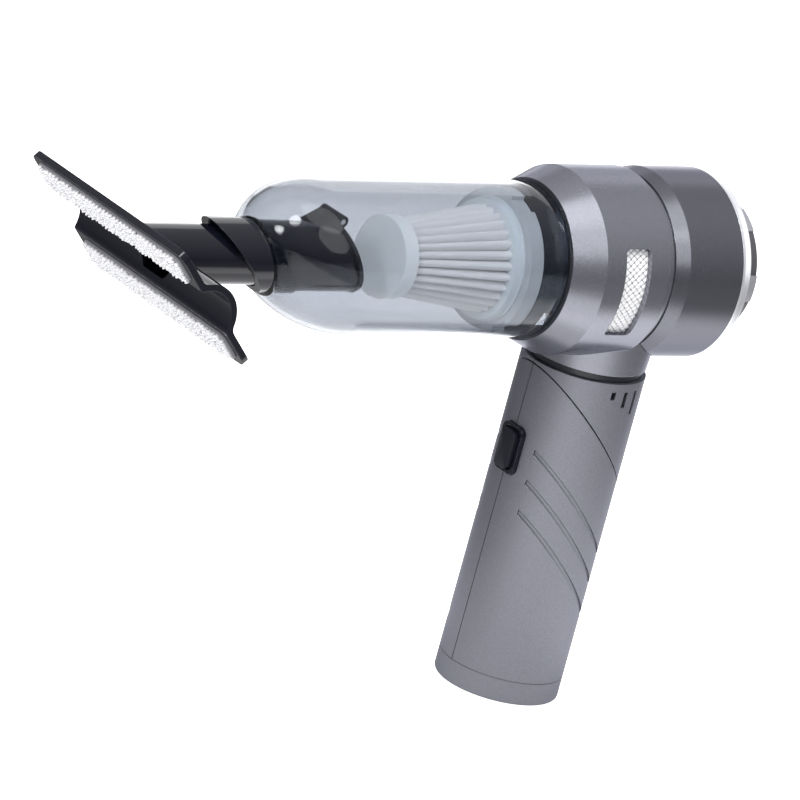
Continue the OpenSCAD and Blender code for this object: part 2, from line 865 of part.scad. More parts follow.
// One ring of the leaning half ellipsoid: a is its length, b its radius, t runs from rim to tip.
function nose_ring(a, b, t) = [for (j = [0 : nose_sides - 1])
    let (q = j * 360 / nose_sides, y = b * cos(t) * sin(q), z = b * cos(t) * cos(q))
    [x_nose - a * sin(t) - nose_lean * z, y, axis_h + z]];

function plain_ring(x, r) = [for (j = [0 : nose_sides - 1])
    let (q = j * 360 / nose_sides) [x, r * sin(q), axis_h + r * cos(q)]];

module nose() {
    skin = 0.12;
    x_in = x_skirt + nose_overlap;
    outer_r = cup_r - skin;
    inner_r = cup_in + skin;
    outer_end = acos(nose_hole_r / outer_r);
    inner_end = acos(nose_hole_r / inner_r);
    rings = concat(
        [plain_ring(x_in, outer_r)],
        [for (i = [0 : nose_steps]) nose_ring(nose_len, outer_r, outer_end * i / nose_steps)],
        [for (i = [nose_steps : -1 : 0]) nose_ring(nose_len - cup_wall, inner_r, inner_end * i / nose_steps)],
        [plain_ring(x_in, inner_r)]);
    n = nose_sides;
    m = len(rings);
    points = [for (one = rings) each one];
    faces = [for (i = [0 : m - 1], j = [0 : n - 1])
        let (a = i * n + j, b = i * n + (j + 1) % n,
             c = ((i + 1) % m) * n + (j + 1) % n, d = ((i + 1) % m) * n + j)
        each [[a, d, c], [a, c, b]]];
    polyhedron(points, faces);
}

module dust_cup() {
    color(smoke) {
        ring(cup_in, cup_r, x_skirt, x_mouth_rim);
        nose();
        for (i = [0 : bayonet_lugs - 1])
            sector(lug_in, cup_in + cup_wall / 2, x_lug, x_lug + bayonet_len,
                   bayonet_first + i * 360 / bayonet_lugs, bayonet_span);
    }
}

module flap_ears() {
    base_z = axis_h + tube_r - tube_wall / 2;
    for (side = [left, right]) {
        y0 = side > 0 ? barrel_w / 2 + run_gap : -barrel_w / 2 - run_gap - ear_t;
        plate_y(y0, y0 + ear_t) {
            translate([pin_x, pin_z]) circle(barrel_r);
            polygon([[pin_x - ear_len, base_z], [pin_x - 0.4, base_z],
                     [pin_x + barrel_r * 0.9, pin_z], [pin_x, pin_z + barrel_r * 0.9]]);
        }
    }
}

module intake_tube() {
    color(black) difference() {
        union() {
            intersection() {
                rod(tube_r, x_mouth - 2 * mouth_r, x_tube_end + 2 * tube_r);
                behind(x_mouth, mouth_tilt);
                ahead(x_tube_end, flap_tilt);
            }
            intersection() {
                rod(mouth_r, x_mouth - 2 * mouth_r, x_mouth + mouth_len + 2 * mouth_r);
                behind(x_mouth, mouth_tilt);
                ahead(x_mouth + mouth_len, collar_tilt);
            }
            flap_ears();
        }
        rod(tube_bore_r, x_mouth - 3 * mouth_r, x_tube_end + 3 * tube_r);
        rod_y(flap_pin_r, pin_x, pin_z, -barrel_w, barrel_w);
    }
}

module flap_pin() {
    reach = barrel_w / 2 + run_gap + ear_t;
    color(silver) rod_y(flap_pin_r, pin_x, pin_z, -reach, reach);
}

module flap_valve() {
    color(black) difference() {
        union() {
            leaning(x_tube_end, flap_tilt) {
                translate([run_gap, 0, 0]) rotate([0, 90, 0]) cylinder(h = flap_t, r = flap_r);
                translate([run_gap, -barrel_w / 2, flap_r - 2]) cube([flap_t, barrel_w, pin_up - flap_r + 2]);
            }
            rod_y(barrel_r, pin_x, pin_z, -barrel_w / 2, barrel_w / 2);
        }
        rod_y(flap_pin_r + pin_gap, pin_x, pin_z, -barrel_w, barrel_w);
    }
}

// Nozzle

// Section of the channel's outside: a round back that runs into the plate's rear face through hollow fillets.
module channel_back() {
    fillet_x = sqrt(pow(channel_r + fillet_r, 2) - pow(plate_t + fillet_r - channel_mid, 2));
    touch = [0, channel_mid] + [fillet_x, plate_t + fillet_r - channel_mid] * channel_r / (channel_r + fillet_r);
    intersection() {
        translate([0, channel_mid]) circle(channel_r);
        translate([-channel_r, plate_t / 2]) square([2 * channel_r, channel_r]);
    }
    for (flip = [0, 1]) mirror([flip, 0]) difference() {
        polygon([[0, plate_t / 2], [fillet_x, plate_t / 2], [fillet_x, plate_t], touch, [0, touch[1]]]);
        translate([fillet_x, plate_t + fillet_r]) circle(fillet_r - blend_skin);
    }
}

// Section of the air slot: a round hollow with rounded lips at the face.
module channel_hollow() {
    r = channel_r - channel_wall;
    lip_x = sqrt(pow(r + slot_lip, 2) - pow(slot_lip - channel_mid, 2));
    touch = [0, channel_mid] + [lip_x, slot_lip - channel_mid] * r / (r + slot_lip);
    translate([0, channel_mid]) circle(r);
    for (flip = [0, 1]) mirror([flip, 0]) difference() {
        polygon([[0, -over], [lip_x, -over], [lip_x, 0], touch, [0, touch[1]]]);
        translate([lip_x, slot_lip]) circle(slot_lip - blend_skin);
    }
}

module across_head(w) {
    translate([0, w / 2, 0]) rotate([90, 0, 0]) linear_extrude(w) children();
}

module nozzle() {
    color(black) difference() {
        union() {
            on_head() {
                linear_extrude(plate_t) round_rect(head_h, head_w, corner_r);
                across_head(head_w) channel_back();
            }
            intersection() {
                rod(pipe_r, x_head - 2 * head_h, x_pipe_end);
                on_head() translate([-big / 2, -big / 2, plate_t / 2]) cube(big);
            }
        }
        on_head() across_head(head_w + 2 * over) channel_hollow();
        intersection() {
            rod(pipe_r - pipe_wall, x_head - 2 * head_h, x_pipe_end + over);
            on_head() translate([-big / 2, -big / 2, plate_t]) cube(big);
        }
    }
}

// Saw-tooth pile on a backing, the teeth running across the strip.
module lint_strip(mid) {
    pitch = strip_w / strip_rows;
    color(white) on_head() intersection() {
        translate([mid, 0, -strip_t - over]) linear_extrude(strip_t + over) round_rect(strip_h, strip_w, 3);
        translate([mid - strip_h, 0, 0]) rotate([90, 0, 90]) linear_extrude(2 * strip_h)
            polygon(concat(
                [for (i = [0 : strip_rows - 1]) each
                    [[i * pitch - strip_w / 2, -strip_base], [(i + 0.5) * pitch - strip_w / 2, -strip_t]]],
                [[strip_w / 2, -strip_base], [strip_w / 2, 0], [-strip_w / 2, 0]]));
    }
}

module lint_strip_upper() {
    lint_strip(-strip_mid);
}

module lint_strip_lower() {
    lint_strip(strip_mid);
}

// Lower handle

module grip_grooves() {
    intersection() {
        on_fold() for (i = [0 : grip_count - 1])
            translate([-big / 2, -big / 2, grip_first + i * grip_pitch]) cube([big, big, grip_w]);
        difference() {
            translate([0, 0, seam_z]) cylinder(h = axis_h, r = handle_r + over);
            translate([0, 0, seam_z - over]) cylinder(h = axis_h + 2 * over, r = handle_r - grip_depth);
        }
        translate([-handle_r * cos(grip_start), -big / 2, 0]) cube(big);
    }
}

module handle_screw_places() {
    for (at = handle_screw_at) translate([at[0], 0, at[1]]) rotate([-90, 0, 0]) children();
}

module handle_bosses(side) {
    intersection() {
        translate([0, 0, seam_z]) cylinder(h = fold_z - seam_z, r = handle_in + handle_wall / 2);
        for (at = handle_screw_at)
            rod_y(boss_r, at[0], at[1], side > 0 ? 0 : -handle_r, side > 0 ? handle_r : 0);
    }
}

module handle_shell(side) {
    difference() {
        union() {
            difference() {
                intersection() {
                    translate([0, 0, seam_z]) cylinder(h = axis_h, r = handle_r);
                    below_fold(fold_gap / 2);
                }
                intersection() {
                    translate([0, 0, seam_z - over]) cylinder(h = axis_h, r = handle_in);
                    below_fold(hub_top);
                }
            }
            handle_bosses(side);
        }
        on_fold() cylinder(h = 3 * hub_top, r = bush_r);
        grip_grooves();
        front_bar(-2 * handle_r, -handle_in + 3, frame_w + 2 * seat_gap, frame_h + 2 * seat_gap, frame_corner);
        translate([x_board, -port_w / 2 - seat_gap, port_h - port_t / 2 - seat_gap])
            cube([handle_r, port_w + 2 * seat_gap, port_t + 2 * seat_gap]);
        handle_screw_places() {
            translate([0, 0, -screw_bite - seat_gap]) cylinder(h = handle_in, r = screw_r + pin_gap);
            translate([0, 0, screw_seat]) cylinder(h = handle_r, r = screw_head_r + seat_gap);
        }
        translate([-big / 2, side > 0 ? part_line / 2 - big : -part_line / 2, -big / 2]) cube(big);
    }
}

module handle_left_shell() {
    color(gunmetal) handle_shell(left);
}

module handle_right_shell() {
    color(gunmetal) handle_shell(right);
}

module handle_screws() {
    color(silver) handle_screw_places() {
        translate([0, 0, screw_seat]) cylinder(h = screw_head_t - 0.3, r = screw_head_r);
        translate([0, 0, -screw_bite]) cylinder(h = screw_bite + screw_seat + 0.4, r = screw_r);
    }
}

module bottom_cap() {
    tab_w = 8;
    tab_t = 2;
    tab_h = 4;
    color(gunmetal) {
        rotate_extrude() {
            square([handle_r - base_edge, seam_z]);
            translate([0, base_edge]) square([handle_r, seam_z - base_edge]);
            translate([handle_r - base_edge, base_edge]) intersection() {
                circle(base_edge);
                translate([0, -base_edge]) square([base_edge, 2 * base_edge]);
            }
        }
        intersection() {
            for (side = [-1, 1])
                translate([side * (handle_in - tab_t) - tab_t, -tab_w / 2, seam_z - over])
                    cube([2 * tab_t, tab_w, tab_h + over]);
            translate([0, 0, seam_z - over]) cylinder(h = 2 * tab_h, r = handle_in - seat_gap);
        }
    }
}

// Power pack

module battery_cells() {
    color(cell_blue) for (side = [left, right]) translate([0, side * cell_y, 0]) {
        translate([0, 0, z_cell]) cylinder(h = cell_len, r = cell_r);
        translate([0, 0, z_cell_top - over]) cylinder(h = over + nub_h, r = 2.8);
    }
}

module battery_carrier() {
    z_top = z_cell_top + nub_h + seat_gap;
    tab_room = 5;
    bar_half = handle_in - 4;
    color(black) {
        intersection() {
            translate([0, 0, z_carrier]) cylinder(h = carrier_t, r = handle_in - seat_gap);
            translate([-handle_in + tab_room, -big / 2, 0]) cube([2 * (handle_in - tab_room), big, big]);
        }
        translate([-rod_x - 1, -bar_half, z_top]) cube([2 * rod_x + 2, 2 * bar_half, carrier_t]);
        for (side = [-1, 1]) translate([side * rod_x, 0, z_carrier])
            cylinder(h = z_top + carrier_t - z_carrier, r = rod_r);
    }
}

module control_board() {
    z0 = z_carrier + carrier_t + 2;
    board_len = 54;
    far = x_board + board_t;
    half = sqrt((handle_in - 0.2) * (handle_in - 0.2) - far * far);
    color(board_green) difference() {
        translate([x_board, -half, z0]) cube([board_t, 2 * half, board_len]);
        for (at = handle_screw_at)
            rod_y(boss_r + 0.4, at[0], at[1], -handle_r, handle_r);
    }
}

module charge_port() {
    shell_t = 0.4;
    depth = 6;
    x0 = x_board + board_t;
    x1 = handle_r - 0.4;
    color(silver) translate([0, 0, port_h]) rotate([0, 90, 0]) {
        difference() {
            translate([0, 0, x0]) linear_extrude(x1 - x0) round_rect(port_t, port_w, port_t / 2 - 0.1);
            translate([0, 0, x1 - depth]) linear_extrude(depth + over)
                round_rect(port_t - 2 * shell_t, port_w - 2 * shell_t, port_t / 2 - shell_t - 0.1);
        }
        translate([-0.35, -port_w / 2 + 1.2, x1 - depth - 0.2]) cube([0.7, port_w - 2.4, depth - 0.6]);
    }
}

module switch_board() {
    half = sqrt((handle_in - 0.2) * (handle_in - 0.2) - x_switch_board * x_switch_board);
    board_h = 18;
    color(board_green)
        translate([x_switch_board, -half, button_z - board_h / 2]) cube([board_t * 0.75, 2 * half, board_h]);
}

module switch_body() {
    color(black) translate([x_switch, -4, button_z - 5]) cube([switch_t, 8, 10]);
}

module button_frame() {
    inner_w = frame_w - 2 * frame_rim;
    inner_h = frame_h - 2 * frame_rim;
    color(black) difference() {
        front_bar(x_frame, x_frame_in, frame_w, frame_h, frame_corner);
        front_bar(x_frame - over, x_frame_in + over, inner_w, inner_h, frame_corner - 1);
    }
}

module power_button() {
    w = frame_w - 2 * frame_rim - 2 * run_gap;
    h = frame_h - 2 * frame_rim - 2 * run_gap;
    color(black) {
        intersection() {
            front_bar(x_button, x_lip + 0.2, w, h, button_corner);
            translate([x_button + crown_w, 0, button_z - h]) cylinder(h = 2 * h, r = crown_w);
            rod_y(crown_h, x_button + crown_h, button_z, -w, w);
        }
        front_bar(x_lip, x_lip + lip_t, w + 2 * button_lip, h + 2 * button_lip, 1.5);
        front_bar(x_lip + lip_t - 0.2, x_nub, 3, 3, 1.2);
    }
}

front_housing();
rear_housing();
trim_ring();
outlet_cap();
outlet_grille();
cap_screws();
vent_mesh_left();
vent_mesh_right();
motor_mount();
motor_can();
motor_screws();
filter_cap();
filter_media();
filter_frame();
filter_gasket();
neck_ring();
upper_handle();
pivot_hub();
pivot_washer();
pivot_clip();
rotor_shaft();
impeller();
impeller_nut();
dust_cup();
intake_tube();
flap_pin();
flap_valve();
nozzle();
lint_strip_upper();
lint_strip_lower();
handle_left_shell();
handle_right_shell();
bottom_cap();
pivot_bush();
handle_screws();
battery_cells();
battery_carrier();
control_board();
charge_port();
switch_board();
switch_body();
button_frame();
power_button();
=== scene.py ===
"""Dresses the handheld vacuum blower: clear dust cup, pleated filter, knurled vents, lint strips,
finishes and stage."""

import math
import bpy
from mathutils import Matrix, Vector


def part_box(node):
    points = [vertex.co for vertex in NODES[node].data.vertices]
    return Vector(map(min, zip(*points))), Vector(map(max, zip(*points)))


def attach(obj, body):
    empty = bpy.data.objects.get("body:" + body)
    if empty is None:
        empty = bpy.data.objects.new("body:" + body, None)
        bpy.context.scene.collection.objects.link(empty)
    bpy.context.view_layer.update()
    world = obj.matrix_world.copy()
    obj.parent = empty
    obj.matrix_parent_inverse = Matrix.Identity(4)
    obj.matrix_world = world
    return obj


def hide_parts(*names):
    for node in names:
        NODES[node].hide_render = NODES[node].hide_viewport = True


bl_info = {
    "name": "Vacuum blower looks",
    "version": (1, 0, 0),
    "blender": (4, 5, 0),
    "location": "View3D > Sidebar > Blower",
    "description": "Builds the visible pieces, finishes and stage of a handheld vacuum blower "
                   "on its CAD frame",
    "category": "Object",
}

import bpy
import numpy as np
from bpy.props import FloatProperty, FloatVectorProperty, IntProperty, PointerProperty
from bpy.types import Operator, Panel, PropertyGroup
from mathutils import Matrix

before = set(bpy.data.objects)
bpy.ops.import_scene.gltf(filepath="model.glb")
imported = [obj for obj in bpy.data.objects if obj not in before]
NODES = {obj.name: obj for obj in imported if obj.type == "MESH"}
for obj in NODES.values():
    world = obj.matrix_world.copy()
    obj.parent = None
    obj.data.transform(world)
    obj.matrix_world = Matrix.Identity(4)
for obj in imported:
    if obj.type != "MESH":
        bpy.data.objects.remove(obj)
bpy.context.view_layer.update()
MM = 0.001

# Places and sizes taken from the CAD model, in millimetres and degrees.
AXIS_H = 151.0

X_RIM, X_NOSE = -38.1, -119.0
CUP_R, CUP_IN, RIM_EDGE = 25.7, 24.1, 0.3
NOSE_LEN, NOSE_LEAN, NOSE_HOLE = 34.5, 0.36, 12.3
LUG_TURNS, LUG_HALF_TURN = (-60, 60, 180), 7
LUG_FRONT, LUG_REAR, LUG_IN, LUG_OUT = -42.4, -39.4, 22.6, CUP_IN - 0.02

FILTER_FRONT_R, SHEET = 11.9, 0.9

VENT_TURN, VENT_OPEN_TURN = 64, 58
VENT_LEN, VENT_OPEN_LEN = 13.5, 10.5
VENT_UNDER_R, VENT_GROOVE_R, KNURL_RISE = 28.25, 28.6, 0.6

HEAD_AT = np.array([-195.4, 0.0, 148.5])
HEAD_X = np.array([1.0, 0.0, -1.0]) / math.sqrt(2)
HEAD_Y = np.array([0.0, 1.0, 0.0])
HEAD_Z = np.array([1.0, 0.0, 1.0]) / math.sqrt(2)
STRIP_AT, STRIP_HALF_H, STRIP_HALF_W, STRIP_CORNER = 18.775, 6.0, 40.5, 3.0
STRIP_BACK, STRIP_FRONT, PILE_FOOT = -0.02, -0.7, -0.65

# Where a finish changes on a piece, each from one value to the next, in metres.
SPIGOT_END = (-0.0379, -0.0377)
SEAM_HALF_W = (0.0001, 0.0003)
SEAM_REAR, SEAM_TOP, SEAM_FOOT = (-0.001, 0.0), (0.118, 0.119), (0.008, 0.0082)
BASE_JOINT_H = 0.0081
COLLAR_LUG_R = (0.02285, 0.02295)

# Oval soft boxes: name, place in metres, width, height and radiance.
LIGHTS = (
    ("key_box", (0.06, -0.4, 1.33), 0.7, 1.2, 1.85),
    ("side_box", (0.08, -1.08, 0.95), 0.7, 0.95, 1.8),
    ("spark_box", (-0.69, -0.42, 1.31), 0.34, 0.5, 14.4),
    ("back_box", (0.95, 0.95, 0.6), 1.6, 1.1, 0.9),
    ("back_low", (0.95, 1.05, 0.2), 1.6, 0.35, 1.3),
    ("left_box", (-1.3, -0.38, 0.85), 0.38, 0.38, 22.4),
    ("right_box", (1.4, 0.0, 0.3), 1.1, 0.9, 1.2),
)
LIGHT_AIM = np.array([-0.06, 0, 0.13])


# Mesh helpers


def quads(rows, cols, wrap_rows=False):
    """Corner numbers of the cells of a rows by cols grid: its last column joins its first, and its
    last row joins its first where the rows wrap."""
    r = np.arange(rows if wrap_rows else rows - 1)[:, None]
    c = np.arange(cols)[None, :]
    r2, c2 = (r + 1) % rows, (c + 1) % cols
    cells = np.broadcast_arrays(r * cols + c, r2 * cols + c, r2 * cols + c2, r * cols + c2)
    return np.stack(cells, -1).reshape(-1, 4)


def outward(points, *face_sets):
    """The face sets turned so that the volume they close is positive: a sixth of the sum of
    a . (b x c) over fan triangles, of which only the sign is used."""
    volume = 0.0
    for faces in face_sets:
        for k in range(1, faces.shape[1] - 1):
            a, b, c = points[faces[:, 0]], points[faces[:, k]], points[faces[:, k + 1]]
            volume += np.einsum("ij,ij->", a, np.cross(b, c))
    return [f if volume > 0 else f[:, ::-1] for f in face_sets]


def piece(name, shells, material, body, replaces, sharp):
    """A mesh object at the origin from closed shells, each (points in mm, face sets), riding on a
    CAD body in place of CAD nodes; edges over sharp degrees stay hard."""
    points, faces, start = [], [], 0
    for pts, sets in shells:
        for f in outward(pts, *sets):
            faces += (f + start).tolist()
        points.append(pts)
        start += len(pts)
    mesh = bpy.data.meshes.new(name)
    mesh.from_pydata((np.concatenate(points) * MM).tolist(), [], faces)
    mesh.polygons.foreach_set("use_smooth", np.ones(len(mesh.polygons), bool))
    mesh.set_sharp_from_angle(angle=math.radians(sharp))
    mesh.materials.append(material)
    mesh.update()
    obj = bpy.data.objects.new(name, mesh)
    bpy.context.scene.collection.objects.link(obj)
    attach(obj, body)
    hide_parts(*replaces)
    return obj


def mark(obj, name, values):
    """Keeps one number for each point of a piece, for its finish to read."""
    layer = obj.data.attributes.new(name, "FLOAT", "POINT")
    layer.data.foreach_set("value", values.astype(np.float32).ravel())


def round_body(x, r, angle):
    """Points at radius r and angle (0 is down, 90 degrees is +Y) round the body axis at x."""
    x, r, angle = np.broadcast_arrays(x, r, angle)
    return np.stack([x, r * np.sin(angle), AXIS_H - r * np.cos(angle)], -1)


def on_head(x, y, z):
    """Points of the nozzle head: x runs down its face, y from side to side and z to the back."""
    x, y, z = np.broadcast_arrays(x, y, z)
    return HEAD_AT + x[..., None] * HEAD_X + y[..., None] * HEAD_Y + z[..., None] * HEAD_Z


def ring(steps):
    """Angles of a full turn in equal steps, without the repeated end."""
    return np.linspace(0, 2 * np.pi, steps, endpoint=False)


def dress(material, *names):
    """Puts a finish on CAD nodes, in their objects' own slots."""
    for name in names:
        for slot in NODES[name].material_slots:
            slot.link = "OBJECT"
            slot.material = material


# Shader helpers


class Value:
    """A shader socket that takes part in Python expressions; each operation adds one Math node."""

    def __init__(self, nodes, socket):
        self.nodes, self.socket = nodes, socket

    def _math(self, operation, a, b):
        return self.nodes.node("ShaderNodeMath", {"operation": operation}, {0: a, 1: b})

    def __add__(self, other):
        return self._math("ADD", self, other)

    def __sub__(self, other):
        return self._math("SUBTRACT", self, other)

    def __rsub__(self, other):
        return self._math("SUBTRACT", other, self)

    def __mul__(self, other):
        return self._math("MULTIPLY", self, other)

    __radd__ = __add__
    __rmul__ = __mul__

    def size(self):
        """The value without its sign."""
        return self._math("ABSOLUTE", self, 0.0)

    def step(self, low, high):
        """0 below low and 1 above high, smooth between them."""
        return self.nodes.node("ShaderNodeMapRange", {"interpolation_type": "SMOOTHSTEP"},
                               {"Value": self, "From Min": low, "From Max": high})


class Nodes:
    """A node tree and the ways to add to it."""

    def __init__(self, tree):
        self.tree = tree

    def join(self, target, value):
        """Links a Value to a socket, or sets the socket's own number, vector or opaque colour."""
        if isinstance(value, Value):
            self.tree.links.new(value.socket, target)
        elif hasattr(target.default_value, "__len__"):
            size = len(target.default_value)
            target.default_value = (tuple(value) + (1.0,) * size)[:size]
        else:
            target.default_value = value

    def node(self, kind, settings=None, sockets=None, output=0):
        """Adds a node of a type, sets its settings first, then its sockets' values or links."""
        made = self.tree.nodes.new(kind)
        for key, value in (settings or {}).items():
            setattr(made, key, value)
        for key, value in (sockets or {}).items():
            self.join(made.inputs[key], value)
        return Value(self, made.outputs[output])

    def mix(self, factor, a, b):
        """Colour a where factor is 0 and b where it is 1."""
        return self.node("ShaderNodeMix", {"data_type": "RGBA"}, {0: factor, 6: a, 7: b}, output=2)


class Finish(Nodes):
    """One procedural material: a Principled shader and the nodes that feed it."""

    def __init__(self, name, **sockets):
        self.material = bpy.data.materials.new(name)
        self.material.use_nodes = True
        super().__init__(self.material.node_tree)
        self.shader = self.tree.nodes["Principled BSDF"]
        self.set(**sockets)

    def set(self, **sockets):
        """Sets or links the shader's sockets, named with underscores for spaces."""
        for key, value in sockets.items():
            self.join(self.shader.inputs[key.replace("_", " ")], value)

    def place(self):
        """Object coordinates in metres."""
        return self.node("ShaderNodeTexCoord", output="Object")

    def axis(self, index):
        """One Object coordinate: 0, 1 or 2."""
        return self.node("ShaderNodeSeparateXYZ", {}, {0: self.place()}, output=index)

    def axes(self):
        """The three Object coordinates."""
        return self.axis(0), self.axis(1), self.axis(2)

    def noise(self, size_mm, detail, roughness=0.5):
        """Noise from 0 to 1 with features of about that size."""
        return self.node("ShaderNodeTexNoise", {},
                         {"Vector": self.place(), "Scale": 1000.0 / size_mm,
                          "Detail": detail, "Roughness": roughness})

    def mark(self, name):
        """The number that each point of the piece keeps under that name."""
        return self.node("ShaderNodeAttribute", {"attribute_name": name}, output="Fac")

    def soft_edges(self, radius_mm):
        """A normal that rounds the edges of a sharp solid by that radius."""
        return self.node("ShaderNodeBevel", {"samples": 4}, {"Radius": radius_mm * MM})

    def bump(self, height, strength, distance_mm, normal=None):
        """A normal that follows a height, on top of another normal where one is given."""
        sockets = {"Height": height, "Strength": strength, "Distance": distance_mm * MM}
        if normal is not None:
            sockets["Normal"] = normal
        return self.node("ShaderNodeBump", {}, sockets)


# Finishes


def gunmetal(look, name, shade=1.0, matt=0.0):
    """Metallic grey paint: fine flakes vary its tone and gloss, the edges of the moulding are soft,
    and the spigot stays darker. A shade below 1 darkens all of it as painted shade. Thin dark lines
    down the handle's front parting line and round the joint above the bottom cap are the painted
    shade of those grooves."""
    paint = np.array(look.paint) * shade
    f = Finish(name, Metallic=0.85, Specular_Tint=(0.4, 0.4, 0.46),
               Coat_Weight=0.1, Coat_Roughness=0.15)
    flakes = f.noise(0.22, 1.0)
    cloud = f.noise(24.0, 2.0)
    tone = f.mix(flakes.step(0.3, 0.75), paint * 0.84, paint * 1.14)
    x, y, z = f.axes()
    spigot = 1 - x.step(*SPIGOT_END)
    # Painted shade: thin dark lines down the handle's front parting line and round the joint above
    # the bottom cap, standing in for the shade in those grooves.
    front_line = (1 - y.size().step(*SEAM_HALF_W)) * (1 - x.step(*SEAM_REAR))
    seam_shade = front_line * (1 - z.step(*SEAM_TOP)) * z.step(*SEAM_FOOT)
    base_joint_shade = 0.6 * (1 - (z - BASE_JOINT_H).size().step(*SEAM_HALF_W))
    f.set(Base_Color=f.mix(seam_shade + base_joint_shade, f.mix(spigot, tone, (0.033, 0.041, 0.058)), paint * 0.3),
          Roughness=look.paint_roughness + matt + 0.05 * flakes + 0.03 * cloud,
          Normal=f.bump(flakes, 0.05, 0.04, f.soft_edges(0.35)))
    return f.material


def black_gloss(look):
    """Glossy black moulding with a few faint smears in its gloss."""
    f = Finish("black_gloss", Specular_IOR_Level=0.42)
    black = np.array(look.black)
    smear = f.noise(14.0, 3.0)
    grain = f.noise(0.5, 1.0)
    f.set(Base_Color=f.mix(smear, black * 0.8, black * 1.25), Roughness=0.07 + 0.06 * smear,
          Normal=f.bump(grain, 0.02, 0.02, f.soft_edges(0.4)))
    return f.material


def button_black(look):
    """Soft-touch black of the button: a fine grain breaks its gloss."""
    f = Finish("button_black", Specular_IOR_Level=0.3)
    black = np.array(look.black)
    grain = f.noise(0.3, 2.0)
    f.set(Base_Color=f.mix(grain, black * 0.9, black * 1.5), Roughness=0.42 + 0.1 * grain,
          Normal=f.bump(grain, 0.06, 0.03, f.soft_edges(0.4)))
    return f.material


def satin_dark():
    """Dark satin plastic with a fine moulded grain."""
    f = Finish("satin_dark")
    grain = f.noise(0.35, 2.0)
    f.set(Base_Color=f.mix(grain, (0.008, 0.009, 0.014), (0.014, 0.016, 0.022)),
          Roughness=0.2 + 0.08 * grain, Normal=f.bump(grain, 0.04, 0.03, f.soft_edges(0.3)))
    return f.material


def collar_grey():
    """Satin grey collar: its lugs, further from the axis than their recesses, are painted pale as a
    painted highlight, and the recesses dark as painted shade.
    """
    f = Finish("collar_grey", Metallic=0.5)
    grain = f.noise(0.35, 2.0)
    y, z = f.axis(1), f.axis(2) - AXIS_H * MM
    # Painted highlight and shade: the lugs pale as if they catch the light, the recesses dark as if
    # in shade.
    lug = (y * y + z * z).step(COLLAR_LUG_R[0] ** 2, COLLAR_LUG_R[1] ** 2)
    recess_shade = f.mix(grain, (0.1, 0.1, 0.11), (0.14, 0.14, 0.15))
    f.set(Base_Color=f.mix(lug, recess_shade, (0.42, 0.42, 0.45)), Roughness=0.3 + 0.1 * grain,
          Normal=f.bump(grain, 0.04, 0.03, f.soft_edges(0.25)))
    return f.material


def bright_trim():
    """Satin plated ring with fine turned lines: noise over x and the distance from the axis,
    squared."""
    f = Finish("bright_trim", Metallic=0.8, Specular_Tint=(0.45, 0.45, 0.49))
    x, y, z = f.axis(0), f.axis(1), f.axis(2) - AXIS_H * MM
    turned = f.node("ShaderNodeCombineXYZ", {}, {0: x, 1: 16.0 * (y * y + z * z)})
    lines = f.node("ShaderNodeTexNoise", {}, {"Vector": turned, "Scale": 3000.0, "Detail": 2.0})
    f.set(Base_Color=f.mix(lines, (0.86, 0.87, 0.9), (0.92, 0.93, 0.96)),
          Roughness=0.26 + 0.06 * lines, Normal=f.soft_edges(0.25))
    return f.material


def clear_smoke(look):
    """Clear smoke-tinted plastic, deeper at its edges, that lets the lamps' light through."""
    f = Finish("smoke_clear", Transmission_Weight=1.0, IOR=1.32, Specular_IOR_Level=0.9)
    tint = np.array(look.smoke)
    smear = f.noise(18.0, 2.0)
    edge = f.node("ShaderNodeLayerWeight", {}, {"Blend": 0.3}, output="Facing")
    f.set(Base_Color=f.mix(edge, f.mix(smear, tint * 0.97, tint), tint * 0.6),
          Roughness=0.03 + 0.02 * smear)
    lamp = f.node("ShaderNodeLightPath", output="Is Shadow Ray")
    through = f.node("ShaderNodeBsdfTransparent", {}, {"Color": tint ** 0.25})
    both = f.node("ShaderNodeMixShader", {},
                  {0: lamp, 1: Value(f, f.shader.outputs[0]), 2: through})
    f.join(f.tree.nodes["Material Output"].inputs["Surface"], both)
    return f.material


def milky(name, low, high):
    """Milky plastic of the filter's cap and flange, faintly clouded."""
    f = Finish(name, Subsurface_Weight=0.15)
    cloud = f.noise(5.0, 2.0)
    f.set(Base_Color=f.mix(cloud, low, high), Roughness=0.32 + 0.1 * cloud,
          Normal=f.soft_edges(0.4))
    return f.material


def fleece():
    """White filter fleece with short fibres."""
    f = Finish("filter_fleece", Sheen_Weight=0.2)
    fibres = f.noise(0.5, 4.0, 0.7)
    f.set(Base_Color=f.mix(fibres, (0.79, 0.785, 0.785), (0.93, 0.925, 0.92)), Roughness=0.85,
          Normal=f.bump(fibres, 0.3, 0.15))
    return f.material


def lint_pile():
    """White pile: tuft tips are bright; towards the roots and on the backing between tufts it is
    painted grey, the painted shade deep in the pile.
    """
    f = Finish("lint_pile", Sheen_Weight=0.25)
    fibres = f.noise(0.3, 3.0, 0.7)
    tone = f.mix(fibres, (0.8, 0.8, 0.82), (0.96, 0.96, 0.97))
    # Painted shade: grey at the roots of the tufts and on the backing.
    f.set(Base_Color=f.mix(f.mark("root"), tone, (0.22, 0.22, 0.24)), Roughness=0.9,
          Normal=f.bump(fibres, 0.4, 0.12))
    return f.material


def knurl_silver():
    """Silver knurling: bright diamonds; the grooves and the panel's underside are painted dark as
    shade.
    """
    f = Finish("knurl_silver", Metallic=0.1)
    spots = f.noise(0.6, 2.0)
    # Painted shade: the grooves, and the underside that counts as groove, are painted near black.
    deep = f.mark("groove").step(0.45, 0.95)
    f.set(Base_Color=f.mix(deep, (0.97, 0.97, 0.98), (0.1, 0.1, 0.11)),
          Roughness=0.24 + 0.2 * spots)
    return f.material


